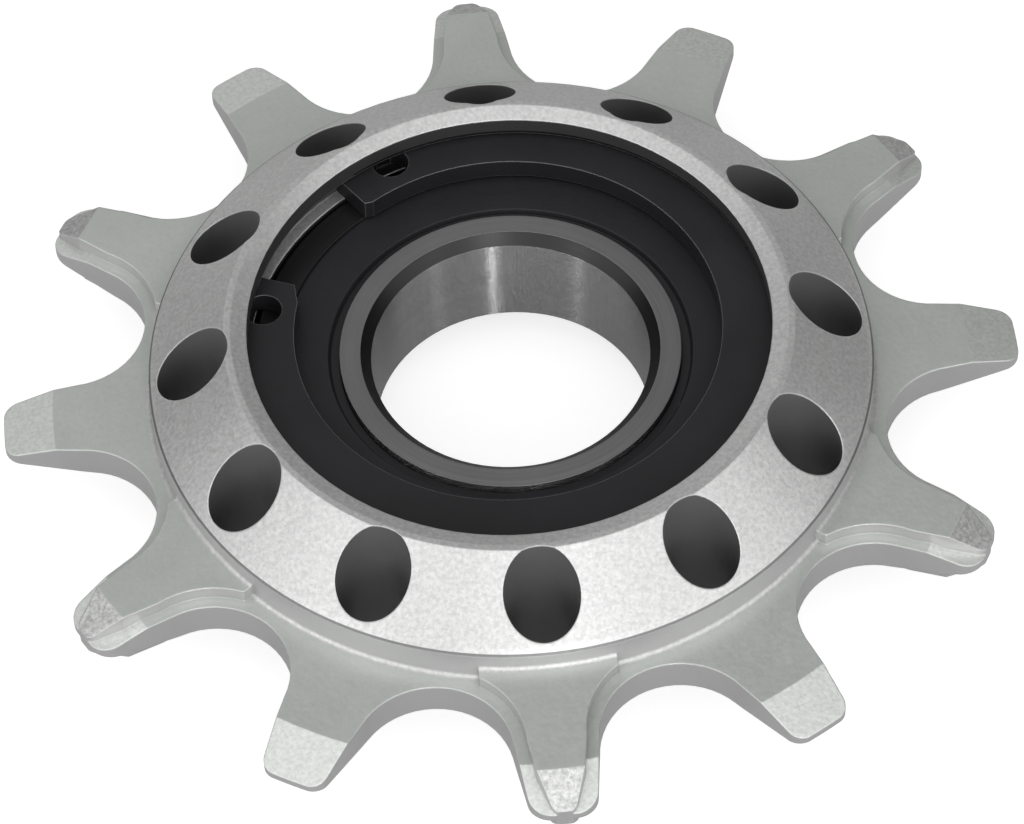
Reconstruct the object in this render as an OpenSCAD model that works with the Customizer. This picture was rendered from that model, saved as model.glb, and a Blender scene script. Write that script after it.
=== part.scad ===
// Derailleur pulley: a narrow-wide toothed wheel with a conical hub, running on a sealed ball
// bearing that a snap ring holds in the hub. Millimetres. The origin is the centre of the bore on
// the mid-plane of the bearing and of the teeth, and +Z points out of the snap ring side.

/* [Chain and teeth] */
// Distance between neighbouring chain rollers
chain_pitch = 12.7; // [12:0.1:16]
// Number of teeth, even so that wide and narrow ones alternate
tooth_count = 12; // [12:2:18]
// Radius of the curve in which a chain roller sits
seat_r = 4.15; // [3.9:0.05:4.8]
// Lean of a tooth's flank towards the middle of the tooth, in degrees
flank_lean = 7.5; // [4:0.5:10]
// How far the tooth tips stand outside the pitch circle
tip_rise = 3.0; // [2:0.05:3.4]
// Corner radius at the tip of a narrow tooth
narrow_corner = 0.9; // [0.4:0.05:1.2]
// Corner radius at the tip of a wide tooth
wide_corner = 1.25; // [0.6:0.05:1.6]

/* [Tooth plate] */
// Thickness of the plate, which is that of a narrow tooth
plate_t = 2.0; // [1.6:0.1:2.6]
// Length of the turned bevel at the tooth tips, on the front
tip_bevel_l = 2.7; // [1:0.1:3.2]
// Depth of that bevel
tip_bevel_d = 0.7; // [0.3:0.05:0.75]
// Length of the turned bevel at the tooth tips, on the rear
rear_bevel_l = 4.4; // [1:0.1:5]
// Depth of that bevel
rear_bevel_d = 0.85; // [0.3:0.05:0.9]
// Width of the ledge between the hub wall and the root of the teeth
root_ledge = 0.9; // [0.5:0.1:3]

/* [Pads of the wide teeth] */
// Height of a pad over the plate, on each face
pad_h = 0.8; // [0.5:0.05:1.2]
// Width of the ledge between a pad and the edge of its tooth
pad_inset = 0.65; // [0.4:0.05:0.8]
// Radius of the nose at the end of a pad
pad_nose_r = 0.75; // [0.5:0.05:1]
// How far the nose reaches past the tip circle, where the turning cut trims it
pad_nose_over = 0.1; // [0.05:0.05:0.3]
// Half of a pad's width where its bevel starts
pad_shoulder = 1.22; // [1.1:0.02:1.4]
// Angle over which the foot of a pad runs along the hub, to each side of its middle
pad_foot_angle = 10.5; // [9:0.1:14]
// Length of the turned bevel on a pad
pad_bevel_l = 1.8; // [0.8:0.1:2.4]
// Depth of that bevel
pad_bevel_d = 1.2; // [0.4:0.05:1.3]

/* [Hub] */
// Width of the flat ring round the mouth of the bearing seat
lip_w = 1.2; // [1:0.1:2]
// Height of the lip over the snap ring's groove
lip_over = 1.4; // [0.8:0.1:2.2]
// Height of the hub wall over the plate, on the front
front_wall_h = 2.1; // [0.8:0.1:3]
// Height of the hub wall over the plate, on the rear
rear_wall_h = 1.0; // [0.4:0.1:2]
// Thickness of the shoulder behind the bearing
shoulder_t = 1.4; // [0.8:0.1:2.4]
// How far the shoulder reaches over the bearing's outer ring
shoulder_w = 1.4; // [0.8:0.1:1.6]
// Width of the flat ring on the rear face, outside the bearing seat
rear_rim_w = 1.5; // [1:0.1:2]
// Radius of the fillet where the hub wall meets the plate
wall_fillet = 0.25; // [0.1:0.05:0.6]
// Chamfer on the hub's outer edges
hub_edge = 0.3; // [0.05:0.05:0.4]
// Width of the shallow bevel at the mouth of the bearing seat
mouth_w = 0.85; // [0.3:0.05:1]
// Depth of that bevel
mouth_d = 0.3; // [0.1:0.05:0.5]

/* [Lightening holes] */
// Radius of a hole
hole_r = 2.0; // [1.2:0.1:2.4]
// Wall between a hole and the snap ring's groove
hole_wall = 0.3; // [0.3:0.05:1]

/* [Bearing] */
// Bore of the bearing
bore_d = 15; // [10:0.5:18]
// Outside diameter of the bearing
bearing_d = 28; // [23:0.5:28.5]
// Width of the bearing
bearing_w = 7; // [6:0.1:9]
// Chamfer at the ends of the bore
bore_edge = 0.55; // [0.2:0.05:0.7]
// Chamfer on the outer ring's outside edges
ring_edge = 0.3; // [0.1:0.05:0.5]
// Diameter of a ball
ball_d = 3.5; // [2.8:0.05:4.2]
// Number of balls
ball_count = 11; // [7:1:12]
// Radius of a raceway as a share of the ball's diameter
race_conformity = 0.52; // [0.515:0.005:0.54]
// Depth of a raceway under the shoulders beside it
race_depth = 0.6; // [0.3:0.05:0.8]

/* [Cage] */
// Thickness of the cage's strip
cage_t = 0.35; // [0.25:0.05:0.5]
// Clearance between the strip and the rings' shoulders
cage_play = 0.28; // [0.15:0.01:0.6]
// Radius of a rivet's shank
rivet_r = 0.32; // [0.2:0.02:0.4]
// Radius of a rivet's heads
rivet_head_r = 0.55; // [0.4:0.05:0.7]
// Thickness of a rivet's heads
rivet_head_t = 0.25; // [0.15:0.05:0.4]

/* [Seals] */
// Thickness of a seal
seal_t = 0.85; // [0.6:0.05:1]
// Depth of a seal's face under the bearing's face
seal_sink = 0.2; // [0.1:0.05:0.4]
// Width of the thin lip that runs on the inner ring
seal_lip_w = 0.6; // [0.4:0.05:0.9]
// How far the lip's face lies under the rest of the seal's face
seal_lip_sink = 0.3; // [0.1:0.05:0.4]
// How far the seal's bead goes into its groove in the outer ring
seal_bead = 0.35; // [0.2:0.05:0.4]
// Depth of the step on which the lip runs, under the inner ring's shoulder
land_depth = 0.4; // [0.2:0.05:0.6]
// Depth of the step on the outer ring, outside its shoulder
outer_step = 0.3; // [0.1:0.05:0.4]

/* [Snap ring] */
// Thickness of the snap ring
clip_t = 1.2; // [0.8:0.1:1.6]
// Depth of the snap ring's groove
groove_depth = 0.7; // [0.4:0.05:0.9]
// Play of the snap ring across its groove
clip_play = 0.1; // [0.05:0.05:0.2]
// Width of the snap ring at its widest place
clip_wide = 3.8; // [2.8:0.1:4.2]
// Width of the snap ring at its narrowest place
clip_narrow = 2.65; // [2.2:0.05:2.9]
// Angle from the middle of the gap to the narrowest place
narrow_turn = -47; // [-60:1:60]
// Angle of the middle of the gap round the axis
gap_turn = 144.5; // [0:0.5:360]
// Angle between the two ends
gap_angle = 32; // [16:1:50]
// Radius of a plier hole
plier_r = 1.0; // [0.6:0.05:1.1]
// Distance from an end to the centre of its plier hole
plier_from_end = 2.6; // [1.6:0.1:3.4]
// Wall between a plier hole and the ring's inner edge
plier_wall = 0.75; // [0.5:0.05:0.9]
// How far the inner edge is drawn back at the ends
end_relief = 0.7; // [0.2:0.05:1]
// Angle over which it is drawn back
end_relief_angle = 19; // [5:1:30]

/* [Clearances] */
// Running clearance of a ball in its raceways
ball_play = 0.03; // [0.01:0.01:0.06]
// Clearance of a ball in its cage pocket
pocket_play = 0.1; // [0.05:0.01:0.15]
// Running clearance of a seal's lip on the inner ring
lip_play = 0.04; // [0.02:0.01:0.08]
// Clearance of parts that are pressed or snapped together
seat_play = 0.01; // [0.005:0.005:0.03]

/* [Hidden] */
$fn = 96;
function ball_name(i) = str("ball_", i < 10 ? "0" : "", i);

// Teeth
tooth_step = 360 / tooth_count;
first_tooth = 3.45;
pitch_r = chain_pitch / (2 * sin(tooth_step / 2));
tip_r = pitch_r + tip_rise;
root_r = pitch_r - seat_r;
plate_z = plate_t / 2;
pad_z = plate_z + pad_h;
// Direction of a flank, from the line through the middle of the gap
flank_turn = tooth_step / 2 + flank_lean;
// Small overlap that lets one solid run into another, or a cutter out of its work
bite = 0.5;
// Amount by which a corner curve ends outside the tip circle, so that it crosses it
corner_over = 0.01;
// Radius at which the straight back of a gap's cutter is clear of the tip circle
clear_r = tip_r / cos(tooth_step / 2) + bite;
corner_steps = 7;

// Hub
bearing_r = bearing_d / 2;
bearing_z = bearing_w / 2;
groove_r = bearing_r + groove_depth;
groove_z = bearing_z + clip_t + clip_play;
lip_r = bearing_r + lip_w;
lip_z = groove_z + lip_over;
hub_r = root_r - root_ledge;
front_wall_z = plate_z + front_wall_h;
rear_wall_z = plate_z + rear_wall_h;
rear_z = bearing_z + shoulder_t;
shoulder_r = bearing_r - shoulder_w;
rear_rim_r = bearing_r + rear_rim_w;
hole_circle_r = groove_r + hole_wall + hole_r;
// Fillet where the hub wall meets a pad, on the front, limited by the wall over the pad
pad_fillet = max(corner_over, min(wall_fillet, front_wall_z - hub_edge - pad_z));
fillet_steps = 4;

// Bearing
bore_r = bore_d / 2;
ball_r = ball_d / 2;
ball_circle_r = (bore_r + bearing_r) / 2;
ball_step = 360 / ball_count;
race_r = ball_d * race_conformity;
inner_race_r = ball_circle_r - ball_r - ball_play;
outer_race_r = ball_circle_r + ball_r + ball_play;
inner_shoulder_r = inner_race_r + race_depth;
outer_shoulder_r = outer_race_r - race_depth;
land_r = inner_shoulder_r - land_depth;
step_r = outer_shoulder_r + outer_step;
seal_top = bearing_z - seal_sink;
seal_floor = seal_top - seal_t;
step_z = seal_floor - lip_play;
bead_r = step_r + seal_bead;
bead_top = seal_top - seal_sink;
end_edge = min(bore_edge, (land_r - bore_r) / 2);

// Cage
cage_w = outer_shoulder_r - inner_shoulder_r - 2 * cage_play;
pocket_r = ball_r + pocket_play;

// Snap ring
clip_r = groove_r - seat_play;
clip_hole_r = clip_r - (clip_wide + clip_narrow) / 2;
clip_shift = (clip_wide - clip_narrow) / 2 * [cos(narrow_turn), sin(narrow_turn)];
plier_circle_r = clip_hole_r + plier_wall + plier_r;
plier_turn = gap_angle / 2 + asin(plier_from_end / plier_circle_r);

// Points of an arc about a centre, from one angle to another
function arc(centre, r, from, to, steps) =
    [for (i = [0:steps]) let (a = from + (to - from) * i / steps) centre + r * [cos(a), sin(a)]];

// Where a line from p in direction u leaves the circle of radius r about the origin
function leaves(p, u, r) = let (b = p * u) -b + sqrt(b * b - p * p + r * r);

// One side of a tooth gap, from the roller seat along the flank and round the tip corner.
// The middle of the gap lies along +X.
function gap_side(corner) =
    let (
        along = [cos(flank_turn), sin(flank_turn)],
        across = [-sin(flank_turn), cos(flank_turn)],
        start = [pitch_r, 0] + (seat_r - corner_over) * across,
        reach = leaves(start + corner * across, along, tip_r + corner_over - corner),
        centre = start + corner * across + reach * along,
        last = atan2(centre[1], centre[0])
    )
    concat(
        [start],
        arc(centre, corner, flank_turn - 90, last, corner_steps),
        [clear_r * [cos(last), sin(last)]]
    );

function mirrored(points) = [for (i = [len(points) - 1:-1:0]) [points[i][0], -points[i][1]]];

module tooth_gap(corner_left, corner_right, height) {
    linear_extrude(height, center = true)
        polygon(concat(gap_side(corner_left), mirrored(gap_side(corner_right))));
    translate([pitch_r, 0, 0]) cylinder(h = height, r = seat_r, center = true);
}

// Plate with all its teeth at the thickness of the narrow ones
module tooth_plate() {
    difference() {
        rotate_extrude() polygon([
            [hub_r - bite, -plate_z],
            [tip_r - rear_bevel_l, -plate_z],
            [tip_r, -plate_z + rear_bevel_d],
            [tip_r, plate_z - tip_bevel_d],
            [tip_r - tip_bevel_l, plate_z],
            [hub_r - bite, plate_z]
        ]);
        for (i = [0:tooth_count - 1])
            rotate(first_tooth + tooth_step * (i + 0.5))
                tooth_gap(
                    i % 2 == 0 ? wide_corner : narrow_corner,
                    i % 2 == 0 ? narrow_corner : wide_corner,
                    plate_t + 2 * bite
                );
    }
}

// Outline of a wide tooth's pad, with the tooth along +X
module pad_outline() {
    nose_x = tip_r + pad_nose_over - pad_nose_r;
    shoulder_x = tip_r - pad_bevel_l;
    to_shoulder = [shoulder_x - nose_x, pad_shoulder];
    nose_turn = atan2(to_shoulder[1], to_shoulder[0]) - acos(pad_nose_r / norm(to_shoulder));
    nose_side = [nose_x, 0] + (pad_nose_r - corner_over) * [cos(nose_turn), sin(nose_turn)];
    gap_centre = pitch_r * [cos(tooth_step / 2), sin(tooth_step / 2)];
    waist = gap_centre[1] - seat_r - pad_inset;
    foot_x = hub_r + wall_fillet;
    foot = foot_x * sin(pad_foot_angle);
    difference() {
        union() {
            polygon([
                [hub_r - bite, -foot],
                [foot_x, -foot],
                [gap_centre[0], -waist - corner_over],
                [shoulder_x, -pad_shoulder],
                [nose_side[0], -nose_side[1]],
                nose_side,
                [shoulder_x, pad_shoulder],
                [gap_centre[0], waist + corner_over],
                [foot_x, foot],
                [hub_r - bite, foot]
            ]);
            translate([nose_x, 0]) circle(r = pad_nose_r);
        }
        for (side = [-1, 1])
            translate([gap_centre[0], side * gap_centre[1]]) circle(r = seat_r + pad_inset);
    }
}

// Raised pads on both faces of every second tooth, bevelled by the same turning cut
module wide_pads() {
    intersection() {
        rotate_extrude() polygon(concat(
            [
                [hub_r - bite, -pad_z],
                [tip_r - pad_bevel_l, -pad_z],
                [tip_r, -pad_z + pad_bevel_d],
                [tip_r, pad_z - pad_bevel_d],
                [tip_r - pad_bevel_l, pad_z]
            ],
            arc([hub_r + pad_fillet, pad_z + pad_fillet], pad_fillet, 270, 180, fillet_steps),
            [[hub_r - bite, pad_z + pad_fillet]]
        ));
        for (i = [1:2:tooth_count - 1])
            rotate(first_tooth + tooth_step * i)
                linear_extrude(2 * (pad_z + bite), center = true) pad_outline();
    }
}

// Turned section of the hub, with the bearing seat, its shoulder and the snap ring's groove
module hub() {
    rotate_extrude() polygon(concat(
        [
            [shoulder_r, -rear_z],
            [rear_rim_r, -rear_z],
            [hub_r - hub_edge, -rear_wall_z],
            [hub_r, -rear_wall_z + hub_edge]
        ],
        arc([hub_r + wall_fillet, -plate_z - wall_fillet], wall_fillet, 180, 90, fillet_steps),
        arc([hub_r + wall_fillet, plate_z + wall_fillet], wall_fillet, 270, 180, fillet_steps),
        [
            [hub_r, front_wall_z - hub_edge],
            [hub_r - hub_edge, front_wall_z],
            [lip_r, lip_z],
            [bearing_r + mouth_w, lip_z],
            [bearing_r, lip_z - mouth_d],
            [bearing_r, groove_z],
            [groove_r, groove_z],
            [groove_r, bearing_z],
            [bearing_r, bearing_z],
            [bearing_r, -bearing_z],
            [shoulder_r, -bearing_z]
        ]
    ));
}

module toothed_wheel() {
    color([0.72, 0.74, 0.72]) difference() {
        union() {
            hub();
            tooth_plate();
            wide_pads();
        }
        for (i = [0:tooth_count - 1])
            rotate(first_tooth + tooth_step * i) translate([hole_circle_r, 0, 0])
                cylinder(h = 2 * (lip_z + rear_z), r = hole_r, center = true);
    }
}

// Cutter for one end of the snap ring, with the gap along +X
module end_cut(side) {
    end_turn = side * gap_angle / 2;
    relief_turn = end_turn + side * end_relief_angle;
    polygon([
        [0, 0],
        (clip_hole_r - bite) * [cos(relief_turn), sin(relief_turn)],
        (clip_hole_r + end_relief) * [cos(end_turn), sin(end_turn)],
        2 * clip_r * [cos(end_turn), sin(end_turn)],
        [2 * clip_r, 0]
    ]);
}

module snap_ring_outline() {
    difference() {
        circle(r = clip_r);
        translate(clip_shift) {
            circle(r = clip_hole_r);
            for (side = [-1, 1])
                rotate(side * plier_turn) translate([plier_circle_r, 0]) circle(r = plier_r);
        }
        for (side = [-1, 1]) end_cut(side);
    }
}

module snap_ring() {
    color([0.13, 0.13, 0.15]) rotate(gap_turn) translate([0, 0, bearing_z])
        linear_extrude(clip_t) snap_ring_outline();
}

module outer_ring() {
    rim_r = bearing_r - seat_play;
    color([0.45, 0.46, 0.47]) rotate_extrude() difference() {
        polygon([
            [step_r, -bearing_z],
            [rim_r - ring_edge, -bearing_z],
            [rim_r, -bearing_z + ring_edge],
            [rim_r, bearing_z - ring_edge],
            [rim_r - ring_edge, bearing_z],
            [step_r, bearing_z],
            [step_r, bead_top],
            [bead_r, bead_top],
            [bead_r, step_z],
            [outer_shoulder_r, step_z],
            [outer_shoulder_r, -step_z],
            [bead_r, -step_z],
            [bead_r, -bead_top],
            [step_r, -bead_top]
        ]);
        translate([outer_race_r - race_r, 0]) circle(r = race_r);
    }
}

module inner_ring() {
    color([0.5, 0.51, 0.52]) rotate_extrude() difference() {
        polygon([
            [bore_r, -bearing_z + end_edge],
            [bore_r + end_edge, -bearing_z],
            [land_r, -bearing_z],
            [land_r, -step_z],
            [inner_shoulder_r, -step_z],
            [inner_shoulder_r, step_z],
            [land_r, step_z],
            [land_r, bearing_z],
            [bore_r + end_edge, bearing_z],
            [bore_r, bearing_z - end_edge]
        ]);
        translate([inner_race_r + race_r, 0]) circle(r = race_r);
    }
}

// Moulded seal of the front side: a thin running lip, a flat face and a bead in the outer ring
module seal() {
    run_r = land_r + lip_play;
    color([0.1, 0.1, 0.11]) rotate_extrude() polygon([
        [run_r, seal_floor],
        [bead_r - seat_play, seal_floor],
        [bead_r - seat_play, bead_top - seat_play],
        [step_r - seat_play, bead_top - seat_play],
        [step_r - seat_play, seal_top],
        [run_r + seal_lip_w, seal_top],
        [run_r + seal_lip_w - seal_lip_sink / 2, seal_top - seal_lip_sink],
        [run_r, seal_top - seal_lip_sink]
    ]);
}

module front_seal() {
    seal();
}

module rear_seal() {
    mirror([0, 0, 1]) seal();
}

// Front half of the cage: a flat strip pressed into a round pocket over each ball
module cage_half() {
    color([0.66, 0.6, 0.5]) intersection() {
        difference() {
            cylinder(h = pocket_r + 2 * cage_t, r = ball_circle_r + cage_w / 2);
            translate([0, 0, -bite])
                cylinder(h = pocket_r + 2 * cage_t + 2 * bite, r = ball_circle_r - cage_w / 2);
        }
        difference() {
            union() {
                cylinder(h = cage_t, r = ball_circle_r + cage_w);
                for (i = [0:ball_count - 1])
                    rotate(ball_step * i) translate([ball_circle_r, 0, 0])
                        sphere(r = pocket_r + cage_t);
            }
            for (i = [0:ball_count - 1])
                rotate(ball_step * i) translate([ball_circle_r, 0, 0]) sphere(r = pocket_r);
            for (i = [0:ball_count - 1])
                rotate(ball_step * (i + 0.5)) translate([ball_circle_r, 0, 0])
                    cylinder(h = 4 * cage_t, r = rivet_r + seat_play, center = true);
        }
    }
}

module front_cage_half() {
    cage_half();
}

module rear_cage_half() {
    mirror([0, 0, 1]) cage_half();
}

// One rivet between each pair of balls, with a head on each half of the cage
module cage_rivets() {
    color([0.7, 0.66, 0.58])
        for (i = [0:ball_count - 1])
            rotate(ball_step * (i + 0.5)) translate([ball_circle_r, 0, 0]) {
                cylinder(h = 2 * cage_t + rivet_head_t, r = rivet_r, center = true);
                for (side = [-1, 1])
                    translate([0, 0, side * (cage_t + rivet_head_t / 2)])
                        cylinder(h = rivet_head_t, r = rivet_head_r, center = true);
            }
}

module ball(i) {
    color([0.8, 0.81, 0.82]) rotate(ball_step * (i - 1)) translate([ball_circle_r, 0, 0])
        sphere(r = ball_r);
}

toothed_wheel();
snap_ring();
outer_ring();
inner_ring();
front_seal();
rear_seal();
front_cage_half();
rear_cage_half();
cage_rivets();
for (i = [1:ball_count])
    ball(i);
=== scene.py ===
"""Looks of a derailleur pulley: a narrow-wide toothed wheel on a sealed ball bearing.

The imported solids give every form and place. This script gives each of them its finish, and
sets up a plain pale studio with the camera at the photograph's viewing angle.
"""

import logging
import math
from dataclasses import dataclass, field
from enum import Enum

import bpy
from mathutils import Matrix, Vector


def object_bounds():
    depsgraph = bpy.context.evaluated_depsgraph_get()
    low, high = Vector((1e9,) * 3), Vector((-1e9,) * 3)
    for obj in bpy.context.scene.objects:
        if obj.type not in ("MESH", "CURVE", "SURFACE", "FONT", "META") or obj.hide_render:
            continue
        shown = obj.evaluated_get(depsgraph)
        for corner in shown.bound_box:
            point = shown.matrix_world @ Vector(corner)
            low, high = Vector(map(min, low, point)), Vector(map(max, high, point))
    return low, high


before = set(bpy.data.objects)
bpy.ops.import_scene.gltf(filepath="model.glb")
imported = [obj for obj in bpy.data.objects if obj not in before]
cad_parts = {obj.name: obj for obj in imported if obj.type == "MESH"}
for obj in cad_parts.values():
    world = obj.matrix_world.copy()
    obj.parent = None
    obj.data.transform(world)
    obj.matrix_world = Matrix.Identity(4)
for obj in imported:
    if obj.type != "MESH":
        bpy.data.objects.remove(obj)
CAD_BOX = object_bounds()

log = logging.getLogger("pulley")

MM = 0.001
WHITE = (1.0, 1.0, 1.0)
BLACK = (0.0, 0.0, 0.0)
CHAMFER_SLOPE = math.cos(math.pi / 4)
Colour = tuple[float, float, float]
Socket = bpy.types.NodeSocket


class Seen(Enum):
    """Which way a surface faces, told by the upright part of its normal."""

    FLAT = (0.975, 0.99)
    STEEP = (0.958, 0.95)
    UPRIGHT = (0.30, 0.12)


class Wiring:
    """A node tree that is being wired, with short calls for adding and joining nodes."""

    def __init__(self, tree: bpy.types.NodeTree) -> None:
        """Starts with an empty tree.

        Args:
            tree: The tree of a material, a world or a node group.
        """
        self.tree = tree
        tree.nodes.clear()

    def add(self, kind: str, inputs: dict | None = None, **settings: object) -> bpy.types.Node:
        """Adds one node.

        Args:
            kind: Blender's name of the node, without the leading ShaderNode.
            inputs: What goes into each socket: another node's socket, or a value.
            settings: Values of the node's own properties.

        Returns:
            The new node.
        """
        prefix = "" if kind.startswith("NodeGroup") else "ShaderNode"
        node = self.tree.nodes.new(prefix + kind)
        for name, value in settings.items():
            setattr(node, name, value)
        for name, value in (inputs or {}).items():
            socket = node.inputs[name]
            if isinstance(value, Socket):
                self.tree.links.new(value, socket)
            else:
                socket.default_value = value
        return node

    def maths(self, operation: str, *values: object) -> Socket:
        """Adds a Math node.

        Args:
            operation: The operation's name in Blender.
            values: Sockets or numbers, in the order of the node's inputs.

        Returns:
            The result's socket.
        """
        return self.add("Math", dict(enumerate(values)), operation=operation).outputs[0]

    def product(self, first: Socket, *others: object) -> Socket:
        """Multiplies masks, so that the result is 1 only where all of them are.

        Args:
            first: The first mask.
            others: More masks, or shares of them.

        Returns:
            The product's socket.
        """
        for other in others:
            first = self.maths("MULTIPLY", first, other)
        return first

    def blend(self, share: object, first: object, second: object) -> Socket:
        """Adds a colour mix from the first colour to the second.

        Args:
            share: How much of the second colour shows, as a socket or a number.
            first: The colour where share is 0.
            second: The colour where share is 1.

        Returns:
            The mixed colour's socket.
        """
        node = self.add("Mix", data_type="RGBA")
        for index, value in ((0, share), (6, first), (7, second)):
            if isinstance(value, Socket):
                self.tree.links.new(value, node.inputs[index])
            else:
                node.inputs[index].default_value = value
        return node.outputs[2]

    def spread(self, value: object, low: float, high: float, to_low: float, to_high: float) -> Socket:
        """Maps a value from one range to another and keeps it there.

        Args:
            value: The socket or number to map.
            low: Lower end of the incoming range.
            high: Upper end of the incoming range.
            to_low: What low becomes.
            to_high: What high becomes.

        Returns:
            The mapped value's socket.
        """
        node = self.add("MapRange", {"Value": value, "From Min": low, "From Max": high,
                                     "To Min": to_low, "To Max": to_high}, clamp=True)
        return node.outputs["Result"]

    def slope(self) -> Socket:
        """Gives the upright part of the surface's true normal, 0 on a wall and 1 on a level face.

        Returns:
            The value's socket.
        """
        normal = self.add("NewGeometry").outputs["True Normal"]
        return self.maths("ABSOLUTE", self.add("SeparateXYZ", {0: normal}).outputs[2])

    def facing(self, way: Seen) -> Socket:
        """Makes a mask of the surfaces that face one way.

        Args:
            way: The way, with the values of the slope at which the mask is 0 and 1.

        Returns:
            The mask's socket.
        """
        nothing, full = way.value
        if nothing < full:
            return self.spread(self.slope(), nothing, full, 0.0, 1.0)
        return self.spread(self.slope(), full, nothing, 1.0, 0.0)

    def millimetres(self) -> Socket:
        """Gives the surface's own coordinates in millimetres.

        Returns:
            The vector's socket.
        """
        place = self.add("TexCoord").outputs["Object"]
        return self.add("VectorMath", {0: place, "Scale": 1 / MM}, operation="SCALE").outputs[0]

    def round_axis(self) -> tuple[Socket, Socket, Socket]:
        """Gives the surface's place round the pulley's axis.

        Returns:
            The distance from the axis in millimetres, the angle in radians, and the height in millimetres.
        """
        across, along, height = self.add("SeparateXYZ", {0: self.millimetres()}).outputs
        squares = self.maths("ADD", self.maths("POWER", across, 2.0), self.maths("POWER", along, 2.0))
        return self.maths("SQRT", squares), self.maths("ARCTAN2", along, across), height


def rgba(colour: Colour) -> tuple[float, float, float, float]:
    """Adds a full alpha to a colour."""
    return (*colour, 1.0)


def scaled(colour: Colour, factor: float) -> Colour:
    """Makes a colour lighter or darker by a factor."""
    return tuple(part * factor for part in colour)


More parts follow.
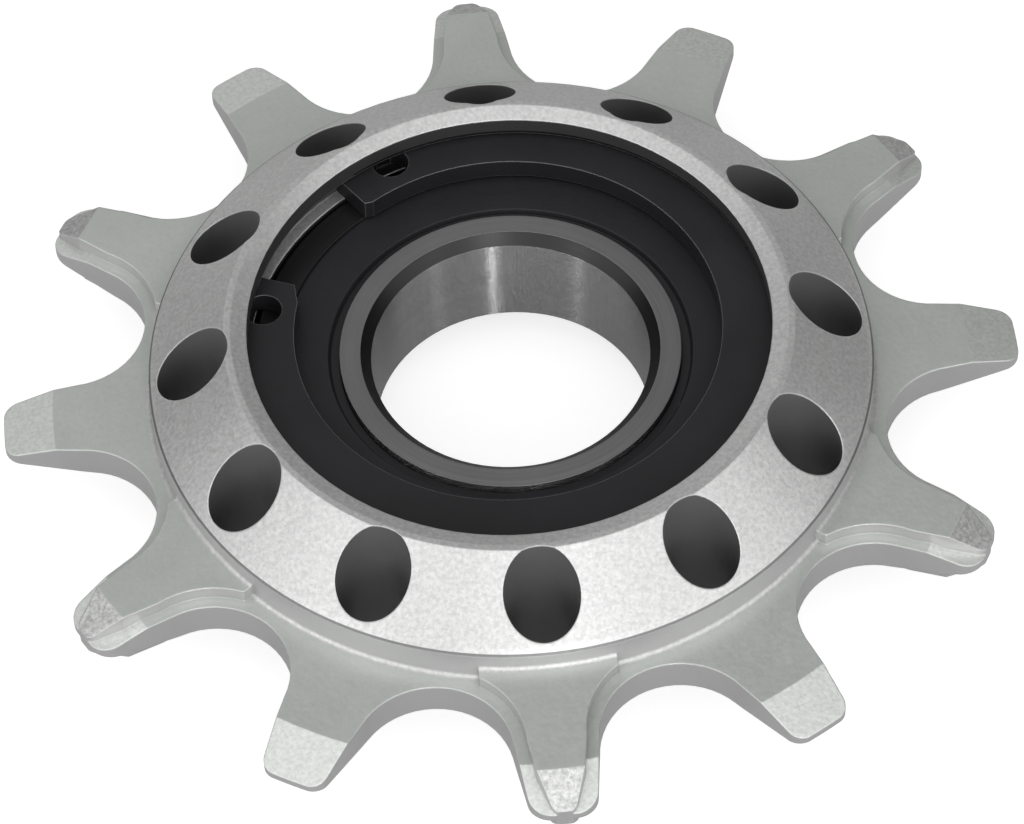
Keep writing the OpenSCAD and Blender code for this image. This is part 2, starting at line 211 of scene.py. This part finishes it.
class Effects:
    """Node groups that several finishes share, each made once."""

    NOISE_RANGE = (0.3, 0.7)
    CELL_RANGE = (0.34, 0.66)
    BENT_TO_EVEN = (0.85, 0.995)
    SHADED_TO_OPEN = (0.80, 0.95)
    CORNER_TO_CLEAR = (0.35, 0.75)
    REACH_IN_RADII = 4.0
    SPECK_SIZE = 0.3
    SPECK_SOFTNESS = 0.03

    def __init__(self) -> None:
        """Makes all groups."""
        self.grain = self._grain()
        self.mottle = self._mottle()
        self.clouds = self._clouds()
        self.rings = self._rings()
        self.edge = self._edge()
        self.specks = self._specks()

    def _group(self, name: str, inputs: dict[str, float], outputs: dict[str, str]) -> tuple[Wiring, bpy.types.Node]:
        """Starts a group.

        Args:
            name: The group's name.
            inputs: The name and default of each value that goes in.
            outputs: The name and socket type of each result.

        Returns:
            The group's wiring, and its input node.
        """
        tree = bpy.data.node_groups.new(name, "ShaderNodeTree")
        wiring = Wiring(tree)
        for socket, default in inputs.items():
            made = tree.interface.new_socket(socket, in_out="INPUT", socket_type="NodeSocketFloat")
            made.default_value = default
        for socket, kind in outputs.items():
            tree.interface.new_socket(socket, in_out="OUTPUT", socket_type=kind)
        return wiring, wiring.add("NodeGroupInput")

    def _grain(self) -> bpy.types.NodeTree:
        """Makes the fine pebbled grain of a blasted, cast or moulded surface.

        Returns:
            The group, with a height and a tone that follow the grain.
        """
        wiring, given = self._group("fine_grain", {"Per mm": 3.0},
                                    {"Height": "NodeSocketFloat", "Tone": "NodeSocketFloat"})
        place = wiring.millimetres()
        fine = wiring.add("TexNoise", {"Vector": place, "Scale": given.outputs["Per mm"], "Detail": 3.0,
                                       "Roughness": 0.6}).outputs["Fac"]
        pebbles = wiring.add("TexVoronoi", {"Vector": place, "Scale": given.outputs["Per mm"]},
                             feature="SMOOTH_F1").outputs["Distance"]
        height = wiring.maths("ADD", fine, wiring.maths("MULTIPLY", pebbles, 0.5))
        wiring.add("NodeGroupOutput", {"Height": height, "Tone": wiring.spread(fine, *self.NOISE_RANGE, 0.0, 1.0)})
        return wiring.tree

    def _mottle(self) -> bpy.types.NodeTree:
        """Makes the patchy bright and dull cells that blasting leaves on soft metal.

        Returns:
            The group, with one tone.
        """
        wiring, given = self._group("blasted_mottle", {"Per mm": 4.5}, {"Tone": "NodeSocketFloat"})
        place = wiring.millimetres()
        cells = wiring.add("TexNoise", {"Vector": place, "Scale": given.outputs["Per mm"], "Detail": 3.0,
                                        "Roughness": 0.65, "Distortion": 0.3}).outputs["Fac"]
        wiring.add("NodeGroupOutput", {"Tone": wiring.spread(cells, *self.CELL_RANGE, 0.0, 1.0)})
        return wiring.tree

    def _clouds(self) -> bpy.types.NodeTree:
        """Makes the wide, soft unevenness of tone that every real surface has.

        Returns:
            The group, with one tone.
        """
        wiring, given = self._group("soft_clouds", {"Per mm": 0.15}, {"Tone": "NodeSocketFloat"})
        noise = wiring.add("TexNoise", {"Vector": wiring.millimetres(), "Scale": given.outputs["Per mm"],
                                        "Detail": 4.0, "Roughness": 0.55, "Distortion": 0.4}).outputs["Fac"]
        wiring.add("NodeGroupOutput", {"Tone": wiring.spread(noise, *self.NOISE_RANGE, 0.0, 1.0)})
        return wiring.tree

    def _rings(self) -> bpy.types.NodeTree:
        """Makes the fine marks that a lathe or a grinding wheel leaves round the axis.

        Returns:
            The group, with the marks' height and tone.
        """
        wiring, given = self._group("turning_marks", {"Per mm": 6.0},
                                    {"Height": "NodeSocketFloat", "Tone": "NodeSocketFloat"})
        radius, angle, height = wiring.round_axis()
        per = given.outputs["Per mm"]
        change_round = 0.8
        across = wiring.add("CombineXYZ", {0: wiring.maths("MULTIPLY", radius, per),
                                           1: wiring.maths("MULTIPLY", wiring.maths("SINE", angle), change_round),
                                           2: wiring.maths("MULTIPLY", height, per)}).outputs[0]
        lines = wiring.add("TexNoise", {"Vector": across, "Scale": 1.0, "Detail": 3.0,
                                        "Roughness": 0.7}).outputs["Fac"]
        wiring.add("NodeGroupOutput", {"Height": lines, "Tone": wiring.spread(lines, *self.NOISE_RANGE, 0.0, 1.0)})
        return wiring.tree

    def _edge(self) -> bpy.types.NodeTree:
        """Makes a slightly broken edge, and masks of the outer edges, which take a painted highlight, and of the
        inner corners, which take painted shade.

        Returns:
            The group, with the rounded normal, the mask of outer edges and that of inner corners.
        """
        wiring, given = self._group("broken_edge", {"Radius mm": 0.1}, {
            "Normal": "NodeSocketVector", "Mask": "NodeSocketFloat", "Corner": "NodeSocketFloat"})
        radius = wiring.maths("MULTIPLY", given.outputs["Radius mm"], MM)
        rounded = wiring.add("Bevel", {"Radius": radius}, samples=4).outputs["Normal"]
        true = wiring.add("NewGeometry").outputs["True Normal"]
        along = wiring.add("VectorMath", {0: rounded, 1: true}, operation="DOT_PRODUCT").outputs["Value"]
        bend = wiring.spread(along, *self.BENT_TO_EVEN, 1.0, 0.0)
        reach = wiring.maths("MULTIPLY", radius, self.REACH_IN_RADII)
        openness = wiring.add("AmbientOcclusion", {"Distance": reach}, samples=3, only_local=True).outputs["AO"]
        outer = wiring.product(bend, wiring.spread(openness, *self.SHADED_TO_OPEN, 0.0, 1.0))
        corner = wiring.spread(openness, *self.CORNER_TO_CLEAR, 1.0, 0.0)
        wiring.add("NodeGroupOutput", {"Normal": rounded, "Mask": outer, "Corner": corner})
        return wiring.tree

    def _specks(self) -> bpy.types.NodeTree:
        """Makes small, sparse, ragged specks of dust.

        Returns:
            The group, with a mask that is 1 in a speck.
        """
        wiring, given = self._group("sparse_specks", {"Per mm": 0.9, "Share": 0.03}, {"Mask": "NodeSocketFloat"})
        place = wiring.millimetres()
        cells = wiring.add("TexVoronoi", {"Vector": place, "Scale": given.outputs["Per mm"], "Randomness": 1.0})
        pick = wiring.add("SeparateColor", {0: cells.outputs["Color"]}).outputs[0]
        chosen = wiring.maths("LESS_THAN", pick, given.outputs["Share"])
        ragged = wiring.add("TexNoise", {"Vector": place, "Scale": 7.0, "Detail": 2.0}).outputs["Fac"]
        reach = wiring.maths("MULTIPLY", ragged, self.SPECK_SIZE)
        beyond = wiring.maths("SUBTRACT", cells.outputs["Distance"], reach)
        inside = wiring.spread(beyond, -self.SPECK_SOFTNESS, self.SPECK_SOFTNESS, 1.0, 0.0)
        wiring.add("NodeGroupOutput", {"Mask": wiring.product(chosen, inside)})
        return wiring.tree


@dataclass(frozen=True)
class Finish:
    """What all finishes have: a name, a colour and how rough the surface is."""

    name: str
    colour: Colour
    roughness: float

    def start(self) -> tuple[bpy.types.Material, Wiring]:
        """Makes an empty material of this name.

        Returns:
            The material, and the wiring of its nodes.
        """
        material = bpy.data.materials.new(self.name)
        material.use_nodes = True
        return material, Wiring(material.node_tree)

    def close(self, wiring: Wiring, shader: bpy.types.Node) -> None:
        """Joins the shader to the material's output.

        Args:
            wiring: The material's wiring.
            shader: The Principled shader.
        """
        wiring.add("OutputMaterial", {"Surface": shader.outputs[0]})

    def uneven(self, wiring: Wiring, tone: Socket, limits: tuple[float, float]) -> Socket:
        """Makes the roughness follow a tone.

        Args:
            wiring: The material's wiring.
            tone: The tone, from 0 to 1.
            limits: How much smoother the surface is where the tone is 0, and how much rougher where it is 1.

        Returns:
            The roughness.
        """
        less, more = limits
        return wiring.spread(tone, 0.0, 1.0, self.roughness - less, self.roughness + more)


@dataclass(frozen=True)
class Drilling:
    """Where the lightening holes lie, in millimetres and degrees."""

    circle: float = 17.0
    radius: float = 2.0
    first: float = 3.45
    count: int = 12
    border: tuple[float, float] = (0.02, 0.05)

    def inside(self, wiring: Wiring, radius: Socket, angle: Socket) -> Socket:
        """Makes a mask of what lies within a hole's outline.

        Args:
            wiring: The material's wiring.
            radius: Distance from the pulley's axis, in millimetres.
            angle: Angle round that axis, in radians.

        Returns:
            The mask's socket.
        """
        step = math.tau / self.count
        turned = wiring.maths("ADD", angle, math.tau + step / 2 - math.radians(self.first))
        off = wiring.maths("SUBTRACT", wiring.maths("MODULO", turned, step), step / 2)
        across = wiring.maths("MULTIPLY", radius, wiring.maths("SINE", off))
        along = wiring.maths("SUBTRACT", wiring.maths("MULTIPLY", radius, wiring.maths("COSINE", off)), self.circle)
        squares = wiring.maths("ADD", wiring.maths("POWER", across, 2.0), wiring.maths("POWER", along, 2.0))
        from_middle = wiring.maths("SQRT", squares)
        near, far = self.border
        return wiring.spread(from_middle, self.radius + near, self.radius + far, 1.0, 0.0)


@dataclass(frozen=True)
class BlastedAlloy(Finish):
    """Machined aluminium: blasted on the hub and finely cut on the teeth, with painted shade in bores, on walls and
    in corners, and a painted highlight on tooth facets and outer edges.
    """

    metallic: float = 0.75
    grain_per_mm: float = 3.2
    grain_depth: float = 0.012
    flat_light: Colour = (0.64, 0.665, 0.64)
    flat_dull: Colour = (0.545, 0.575, 0.545)
    # The facet colours are brighter copies of the flat ones: a painted highlight.
    highlit_facet_light: Colour = (0.77, 0.79, 0.765)
    highlit_facet_dull: Colour = (0.63, 0.65, 0.625)
    blast_light: Colour = (0.64, 0.64, 0.635)
    blast_dull: Colour = (0.49, 0.495, 0.49)
    # The bevels' dark colour is painted shade.
    shaded_bevel_dull: Colour = (0.36, 0.37, 0.36)
    # Darker colours on walls, in the drilled holes, on the bearing's seat, on the hub's broken edge and on the
    # groove's floor under the snap ring: painted shade.
    shaded_wall_colour: Colour = (0.53, 0.525, 0.53)
    hole_painted_shade: Colour = (0.16, 0.16, 0.16)
    bore_metallic: float = 0.4
    seat_painted_shade: Colour = (0.10, 0.10, 0.10)
    rim_painted_shade: Colour = (0.19, 0.19, 0.19)
    under_ring_painted_shade: Colour = (0.02, 0.02, 0.02)
    cloud_share: float = 0.65
    seat_radius: float = 14.75
    seat_top: float = 5.0
    gap_turn: float = 144.5
    gap_half: float = 19.0
    hub_radius: float = 19.7
    rim_width: float = 0.32
    soft_border: float = 0.05
    edge_radius: float = 0.12
    # A painted highlight on outer edges, and painted shade in inner corners.
    edge_highlight_gain: float = 1.15
    edge_highlight_share: float = 0.8
    corner_shade_gain: float = 0.25
    corner_shade_share: float = 0.30
    rim_margin: float = 0.01
    slope_margin: float = 0.04
    unevenness: tuple[float, float] = (0.04, 0.05)
    holes: Drilling = Drilling()

    def _faces(self, wiring: Wiring, effects: Effects, radius: Socket) -> Socket:
        """Colours the cone and the flat faces of the teeth, with a painted highlight on the facets at their tips
        and painted shade on the steeper bevels.

        Args:
            wiring: The material's wiring.
            effects: The shared node groups.
            radius: Distance from the pulley's axis, in millimetres.

        Returns:
            The colour.
        """
        mottle = wiring.add("Group", node_tree=effects.mottle).outputs["Tone"]
        clouds = wiring.add("Group", node_tree=effects.clouds).outputs["Tone"]
        tone = wiring.maths("MULTIPLY_ADD", clouds, self.cloud_share,
                            wiring.maths("MULTIPLY", mottle, 1 - self.cloud_share))
        flats = wiring.blend(tone, rgba(self.flat_dull), rgba(self.flat_light))
        blasted = wiring.blend(mottle, rgba(self.blast_dull), rgba(self.blast_light))
        # Chosen by which way they face: facets get a painted highlight and steeper bevels get painted shade.
        facets = wiring.blend(mottle, rgba(self.highlit_facet_dull), rgba(self.highlit_facet_light))
        bevels = wiring.blend(mottle, rgba(self.shaded_bevel_dull), rgba(self.blast_light))
        teeth = wiring.blend(wiring.facing(Seen.FLAT), facets, flats)
        teeth = wiring.blend(wiring.facing(Seen.STEEP), teeth, bevels)
        off_hub = wiring.spread(radius, self.hub_radius, self.hub_radius + self.soft_border, 0.0, 1.0)
        return wiring.blend(off_hub, blasted, teeth)

    def _painted_shade_under_ring(self, wiring: Wiring, radius: Socket, angle: Socket, height: Socket) -> Socket:
        """Makes a mask of the groove's floor where the snap ring covers it, which takes a dark colour as painted
        shade.

        Args:
            wiring: The material's wiring.
            radius: Distance from the pulley's axis, in millimetres.
            angle: Angle round that axis, in radians.
            height: Height over the middle of the teeth, in millimetres.

        Returns:
            The mask's socket.
        """
        from_gap = wiring.maths("COSINE", wiring.maths("SUBTRACT", angle, math.radians(self.gap_turn)))
        return wiring.product(wiring.maths("LESS_THAN", from_gap, math.cos(math.radians(self.gap_half))),
                              wiring.maths("LESS_THAN", height, self.seat_top),
                              wiring.maths("LESS_THAN", radius, self.seat_radius),
                              wiring.maths("GREATER_THAN", height, 0.0))

    def _zones(self, wiring: Wiring, base: Socket, place: tuple[Socket, Socket, Socket]) -> tuple[Socket, Socket]:
        """Paints shade as darker colours on the walls, the hub's broken edge, the drilled holes, the bearing's seat
        and the groove's covered floor.

        Args:
            wiring: The material's wiring.
            base: The colour of the flat and conical faces.
            place: The distance from the axis, the angle round it and the height.

        Returns:
            The colour of every zone, and how metallic it is.
        """
        radius, angle, _ = place
        wall = wiring.facing(Seen.UPRIGHT)
        drilled = wiring.product(wall, self.holes.inside(wiring, radius, angle))
        in_seat = wiring.product(wall, wiring.spread(
            radius, self.seat_radius, self.seat_radius + self.soft_border, 1.0, 0.0))
        half_rim = self.rim_width / 2
        at_rim = wiring.maths("COMPARE", radius, self.hub_radius - half_rim, half_rim + self.rim_margin)
        broken = wiring.product(at_rim, wiring.maths("COMPARE", wiring.slope(), CHAMFER_SLOPE, self.slope_margin))
        # Each zone's darker colour is painted shade.
        for mask, colour in ((wall, self.shaded_wall_colour), (broken, self.rim_painted_shade), (drilled, self.hole_painted_shade),
                             (in_seat, self.seat_painted_shade), (self._painted_shade_under_ring(wiring, *place), self.under_ring_painted_shade)):
            base = wiring.blend(mask, base, rgba(colour))
        return base, wiring.spread(drilled, 0.0, 1.0, self.metallic, self.bore_metallic)

    def material(self, effects: Effects) -> bpy.types.Material:
        """Makes the material.

        Args:
            effects: The shared node groups.

        Returns:
            The finished material.
        """
        material, wiring = self.start()
        grain = wiring.add("Group", {"Per mm": self.grain_per_mm}, node_tree=effects.grain).outputs
        edge = wiring.add("Group", {"Radius mm": self.edge_radius}, node_tree=effects.edge).outputs
        place = wiring.round_axis()
        base, metallic = self._zones(wiring, self._faces(wiring, effects, place[0]), place)
        # Painted shade in inner corners and a painted highlight on outer edges.
        painted_corner_shade = rgba(scaled(self.colour, self.corner_shade_gain))
        bright = rgba(scaled(self.colour, self.edge_highlight_gain))
        base = wiring.blend(wiring.product(edge["Corner"], self.corner_shade_share), base, painted_corner_shade)
        base = wiring.blend(wiring.product(edge["Mask"], self.edge_highlight_share), base, bright)
        rough = self.uneven(wiring, grain["Tone"], self.unevenness)
        bump = wiring.add("Bump", {"Height": grain["Height"], "Distance": self.grain_depth * MM, "Strength": 1.0,
                                   "Normal": edge["Normal"]})
        shader = wiring.add("BsdfPrincipled", {"Base Color": base, "Metallic": metallic, "Roughness": rough,
                                               "Normal": bump.outputs[0]})
        self.close(wiring, shader)
        return material


@dataclass(frozen=True)
class GroundSteel(Finish):
    """Ring steel with fine grinding marks round the axis, which stretch each highlight across them."""

    marks_per_mm: float = 9.0
    mark_depth: float = 0.0015
    tone_range: float = 0.12
    stretch: float = 0.75
    edge_radius: float = 0.06
    # Painted shade on chamfers and, more lightly, on flat faces.
    chamfer_shade_share: float = 0.11
    face_shade_share: float = 0.2
    wall_spread: float = 0.0
    wall_gloss: float = 0.45
    pits_per_mm: float = 40.0
    chamfer_range: tuple[float, float] = (0.08, 0.16)
    unevenness: tuple[float, float] = (0.04, 0.06)

    def _spread_walls(self, wiring: Wiring, normal: Socket) -> Socket:
        """Tips the normals of upright walls up and down, as deep grinding marks round the axis do.

        Args:
            wiring: The material's wiring.
            normal: The normal to start from.

        Returns:
            The tipped normal.
        """
        noise = wiring.add("TexNoise", {"Vector": wiring.millimetres(), "Scale": self.pits_per_mm,
                                        "Detail": 1.0}).outputs["Fac"]
        tip = wiring.maths("MULTIPLY", wiring.maths("SUBTRACT", noise, 0.5), self.wall_spread)
        offset = wiring.add("CombineXYZ", {2: wiring.product(tip, wiring.facing(Seen.UPRIGHT))}).outputs[0]
        moved = wiring.add("VectorMath", {0: normal, 1: offset}, operation="ADD").outputs[0]
        return wiring.add("VectorMath", {0: moved}, operation="NORMALIZE").outputs[0]

    def _base(self, wiring: Wiring, effects: Effects, marks: Socket) -> Socket:
        """Colours the steel, with painted shade on its chamfers and a little painted shade on its flat faces.

        Args:
            wiring: The material's wiring.
            effects: The shared node groups.
            marks: The tone of the grinding marks.

        Returns:
            The colour.
        """
        clouds = wiring.add("Group", node_tree=effects.clouds).outputs["Tone"]
        tone = wiring.maths("MULTIPLY_ADD", clouds, 0.5, wiring.maths("MULTIPLY", marks, 0.5))
        base = wiring.blend(tone, rgba(scaled(self.colour, 1 - self.tone_range)),
                            rgba(scaled(self.colour, 1 + self.tone_range)))
        # The darker chamfers and the slightly darker flat faces below are painted shade.
        off = wiring.maths("ABSOLUTE", wiring.maths("SUBTRACT", wiring.slope(), CHAMFER_SLOPE))
        chamfer = wiring.spread(off, *self.chamfer_range, 1.0, 0.0)
        base = wiring.blend(chamfer, base, rgba(scaled(self.colour, self.chamfer_shade_share)))
        return wiring.blend(wiring.product(wiring.facing(Seen.FLAT), self.face_shade_share), base, rgba(BLACK))

    def material(self, effects: Effects) -> bpy.types.Material:
        """Makes the material.

        Args:
            effects: The shared node groups.

        Returns:
            The finished material.
        """
        material, wiring = self.start()
        rings = wiring.add("Group", {"Per mm": self.marks_per_mm}, node_tree=effects.rings).outputs
        edge = wiring.add("Group", {"Radius mm": self.edge_radius}, node_tree=effects.edge).outputs
        base = self._base(wiring, effects, rings["Tone"])
        rough = self.uneven(wiring, rings["Tone"], self.unevenness)
        normal = edge["Normal"]
        if self.wall_spread:
            gloss = wiring.spread(wiring.facing(Seen.UPRIGHT), 0.0, 1.0, 1.0, self.wall_gloss)
            rough = wiring.maths("MULTIPLY", rough, gloss)
            normal = self._spread_walls(wiring, normal)
        bump = wiring.add("Bump", {"Height": rings["Height"], "Distance": self.mark_depth * MM,
                                   "Strength": 1.0, "Normal": normal})
        tangent = wiring.add("Tangent", direction_type="RADIAL", axis="Z")
        shader = wiring.add("BsdfPrincipled", {
            "Base Color": base, "Metallic": 1.0, "Roughness": rough, "Anisotropic": self.stretch,
            "Anisotropic Rotation": 0.25, "Normal": bump.outputs[0], "Tangent": tangent.outputs[0]})
        self.close(wiring, shader)
        return material


@dataclass(frozen=True)
class DarkSkin(Finish):
    """A dark skin with a fine grain: black oxide on spring steel, or moulded rubber."""

    metallic: float = 0.0
    grain_per_mm: float = 5.0
    grain_depth: float = 0.006
    edge_radius: float = 0.08
    dust_colour: Colour = (0.20, 0.20, 0.20)
    dust_share: float = 0.02
    dust_cover: float = 0.5
    cloud_gains: tuple[float, float] = (0.8, 1.25)
    shine: float = 0.5
    # A lighter colour on outer edges: a painted highlight.
    edge_sheen_share: float = 0.35
    edge_sheen: Colour = (0.05, 0.05, 0.055)
    unevenness: tuple[float, float] = (0.05, 0.07)

    def material(self, effects: Effects) -> bpy.types.Material:
        """Makes the material.

        Args:
            effects: The shared node groups.

        Returns:
            The finished material.
        """
        material, wiring = self.start()
        grain = wiring.add("Group", {"Per mm": self.grain_per_mm}, node_tree=effects.grain).outputs
        edge = wiring.add("Group", {"Radius mm": self.edge_radius}, node_tree=effects.edge).outputs
        dust = wiring.add("Group", {"Share": self.dust_share}, node_tree=effects.specks).outputs["Mask"]
        clouds = wiring.add("Group", node_tree=effects.clouds).outputs["Tone"]
        darkest, lightest = self.cloud_gains
        base = wiring.blend(clouds, rgba(scaled(self.colour, darkest)), rgba(scaled(self.colour, lightest)))
        # Lightens the outer edges: a painted highlight.
        base = wiring.blend(wiring.product(edge["Mask"], self.edge_sheen_share), base, rgba(self.edge_sheen))
        base = wiring.blend(wiring.product(dust, self.dust_cover), base, rgba(self.dust_colour))
        rough = self.uneven(wiring, grain["Tone"], self.unevenness)
        bump = wiring.add("Bump", {"Height": grain["Height"], "Distance": self.grain_depth * MM,
                                   "Strength": 1.0, "Normal": edge["Normal"]})
        shader = wiring.add("BsdfPrincipled", {
            "Base Color": base, "Metallic": self.metallic, "Roughness": rough,
            "Specular IOR Level": self.shine, "Normal": bump.outputs[0]})
        self.close(wiring, shader)
        return material


def dress(node: str, material: bpy.types.Material) -> None:
    """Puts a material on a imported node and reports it.

    Args:
        node: The node's name.
        material: Its new material.
    """
    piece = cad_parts[node]
    piece.data.materials.clear()
    piece.data.materials.append(material)
    log.info("%s: %s", node, material.name)


@dataclass
class ToothedWheel:
    """The aluminium wheel, with its teeth, pads, conical hub and lightening holes."""

    finish: BlastedAlloy = field(default_factory=lambda: BlastedAlloy("blasted_alloy", (0.66, 0.68, 0.66), 0.42))

    def build(self, effects: Effects) -> None:
        """Gives the wheel its finish."""
        dress("toothed_wheel", self.finish.material(effects))


@dataclass
class SnapRing:
    """The internal snap ring that holds the bearing in the hub."""

    # Black oxide with a strong painted highlight on the ring's outer edges.
    finish: DarkSkin = field(default_factory=lambda: DarkSkin(
        "black_oxide", (0.014, 0.014, 0.016), 0.45, 0.3, edge_sheen_share=0.9, edge_sheen=(0.22, 0.22, 0.23)))

    def build(self, effects: Effects) -> None:
        """Gives the snap ring its finish."""
        dress("snap_ring", self.finish.material(effects))


@dataclass
class BallBearing:
    """The sealed bearing: two rings, two seals, and the caged balls inside."""

    ring: GroundSteel = field(default_factory=lambda: GroundSteel(
        "ground_steel", (0.38, 0.38, 0.38), 0.36, stretch=0.2, wall_spread=6.0))
    # The outer ring's steel is coloured far darker than the inner ring's: painted shade, as it sits deep in the
    # hub's bore.
    outer: GroundSteel = field(default_factory=lambda: GroundSteel(
        "outer_steel_painted_shade", (0.07, 0.07, 0.072), 0.36, stretch=0.5))
    rubber: DarkSkin = field(default_factory=lambda: DarkSkin(
        "seal_rubber", (0.009, 0.009, 0.011), 0.5, shine=0.4))
    strip: GroundSteel = field(default_factory=lambda: GroundSteel("pressed_strip", (0.42, 0.40, 0.36), 0.35))
    ball: GroundSteel = field(default_factory=lambda: GroundSteel(
        "polished_ball", (0.6, 0.6, 0.61), 0.1, mark_depth=0.0, stretch=0.0))

    def build(self, effects: Effects) -> None:
        """Gives each piece of the bearing its finish."""
        rubber, strip, ball = (finish.material(effects) for finish in (self.rubber, self.strip, self.ball))
        dress("inner_ring", self.ring.material(effects))
        dress("outer_ring", self.outer.material(effects))
        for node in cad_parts:
            if node.endswith("_seal"):
                dress(node, rubber)
            elif "cage" in node:
                dress(node, strip)
            elif node.startswith("ball_"):
                dress(node, ball)


@dataclass(frozen=True)
class Lamp:
    """A rectangular soft light that looks at the pulley."""

    name: str
    azimuth: float
    elevation: float
    distance: float
    width: float
    height: float
    watts: float


@dataclass(frozen=True)
class Dome:
    """A wide soft light in the sky: full up to one angle from its middle, and gone at another."""

    azimuth: float
    elevation: float
    full_to: float
    ends_at: float
    level: float


@dataclass
class Studio:
    """Floor, light and camera. Angles are in degrees and lengths in metres."""

    target: tuple[float, float, float] = (-0.073 * MM, -1.663 * MM, 0.0)
    azimuth: float = 0.0
    elevation: float = 53.06
    roll: float = -2.71
    distance: float = 0.24643
    lens: float = 160.45
    sensor: float = 36.0
    nearest_seen: float = 0.01
    floor_side: float = 3.0
    floor_albedo: float = 0.42
    floor_glow: float = 0.76
    floor_mirrored: float = 0.12
    rest: float = 0.1
    domes: tuple[Dome, ...] = (
        Dome(-4.0, 22.0, 78.0, 90.0, 1.16),
        Dome(-150.0, 36.0, 10.0, 35.0, 0.4),
        Dome(180.0, 8.0, 20.0, 45.0, 0.22),
    )
    lamps: tuple[Lamp, ...] = (
        Lamp("bore_streak", 10.2, 28.0, 0.7, 0.05, 0.4, 0.9),
        Lamp("left_of_bore", 52.0, 28.0, 0.7, 0.08, 0.4, 0.15),
        Lamp("right_of_bore", -52.0, 28.0, 0.7, 0.08, 0.4, 0.3),
    )

    def build(self) -> None:
        """Makes the floor, the sky, the lamps and the camera."""
        self._floor()
        self._sky()
        for lamp in self.lamps:
            self._lamp(lamp)
        self._camera()
        bpy.context.scene.view_settings.view_transform = "Standard"

    def _towards(self, azimuth: float, elevation: float) -> Vector:
        """Gives the direction of a place round the pulley, with azimuth 0 at the viewer's side.

        Args:
            azimuth: Turn towards the viewer's right, in degrees.
            elevation: Height over the floor, in degrees.

        Returns:
            A vector of length 1.
        """
        turn, rise = math.radians(azimuth), math.radians(elevation)
        return Vector((math.sin(turn) * math.cos(rise), -math.cos(turn) * math.cos(rise), math.sin(rise)))

    def _floor(self) -> None:
        """Lays a white floor that keeps the shadow, and that metal mirrors as a pale grey."""
        half = self.floor_side / 2
        low = CAD_BOX[0][2]
        corners = [(-half, -half, low), (half, -half, low), (half, half, low), (-half, half, low)]
        mesh = bpy.data.meshes.new("floor")
        mesh.from_pydata(corners, [], [(0, 1, 2, 3)])
        floor = bpy.data.objects.new("floor", mesh)
        bpy.context.scene.collection.objects.link(floor)
        material = bpy.data.materials.new("white_floor")
        material.use_nodes = True
        wiring = Wiring(material.node_tree)
        path = wiring.add("LightPath").outputs
        mirrored = wiring.maths("MAXIMUM", path["Is Glossy Ray"], path["Is Transmission Ray"])
        seen = wiring.maths("MULTIPLY_ADD", path["Is Camera Ray"], self.floor_glow,
                            wiring.maths("MULTIPLY", mirrored, self.floor_mirrored))
        glow = wiring.add("Emission", {"Color": rgba(WHITE), "Strength": seen})
        white = wiring.add("BsdfDiffuse", {"Color": rgba(scaled(WHITE, self.floor_albedo))})
        both = wiring.add("AddShader", {0: glow.outputs[0], 1: white.outputs[0]})
        wiring.add("OutputMaterial", {"Surface": both.outputs[0]})
        mesh.materials.append(material)

    def _sky(self) -> None:
        """Lights the scene softly, mostly from the front and above, and shows white to the camera."""
        world = bpy.data.worlds.new("studio_sky")
        world.use_nodes = True
        bpy.context.scene.world = world
        wiring = Wiring(world.node_tree)
        way = wiring.add("TexCoord").outputs["Generated"]
        light = self.rest
        for dome in self.domes:
            centre = tuple(self._towards(dome.azimuth, dome.elevation))
            along = wiring.add("VectorMath", {0: way, 1: centre}, operation="DOT_PRODUCT").outputs["Value"]
            near, far = math.cos(math.radians(dome.full_to)), math.cos(math.radians(dome.ends_at))
            share = wiring.add("MapRange", {"Value": along, "From Min": far, "From Max": near},
                               interpolation_type="SMOOTHSTEP").outputs["Result"]
            light = wiring.maths("MULTIPLY_ADD", share, dome.level, light)
        seen = wiring.add("LightPath").outputs["Is Camera Ray"]
        level = wiring.add("Mix", {0: seen, 2: light, 3: 1.0}, data_type="FLOAT").outputs[0]
        back = wiring.add("Background", {"Color": rgba(WHITE), "Strength": level})
        wiring.add("OutputWorld", {"Surface": back.outputs[0]})

    def _lamp(self, lamp: Lamp) -> None:
        """Hangs one lamp.

        Args:
            lamp: Its place, size and power.
        """
        data = bpy.data.lights.new(lamp.name, "AREA")
        data.shape = "RECTANGLE"
        data.size, data.size_y, data.energy = lamp.width, lamp.height, lamp.watts
        light = bpy.data.objects.new(lamp.name, data)
        bpy.context.scene.collection.objects.link(light)
        direction = self._towards(lamp.azimuth, lamp.elevation)
        light.location = direction * lamp.distance
        light.rotation_euler = direction.to_track_quat("Z", "Y").to_euler()
        light.visible_camera = False

    def _camera(self) -> None:
        """Places the camera at the photograph's viewing angle."""
        data = bpy.data.cameras.new("camera")
        data.lens, data.sensor_width, data.sensor_fit = self.lens, self.sensor, "HORIZONTAL"
        data.clip_start = self.nearest_seen
        camera = bpy.data.objects.new("camera", data)
        bpy.context.scene.collection.objects.link(camera)
        back = self._towards(self.azimuth, self.elevation)
        right = Vector((0, 0, 1)).cross(back).normalized()
        turn = Matrix((right, back.cross(right), back)).transposed()
        turn = turn @ Matrix.Rotation(math.radians(self.roll), 3, "Z")
        camera.matrix_world = Matrix.Translation(Vector(self.target) + back * self.distance) @ turn.to_4x4()
        bpy.context.scene.camera = camera


def main() -> None:
    """Builds the pulley's sub-assemblies and the studio in order."""
    logging.basicConfig(level=logging.INFO, format="%(name)s: %(message)s")
    effects = Effects()
    for part in (ToothedWheel(), SnapRing(), BallBearing()):
        log.info("building %s", type(part).__name__)
        part.build(effects)
    Studio().build()


if __name__ == "__main__":
    main()
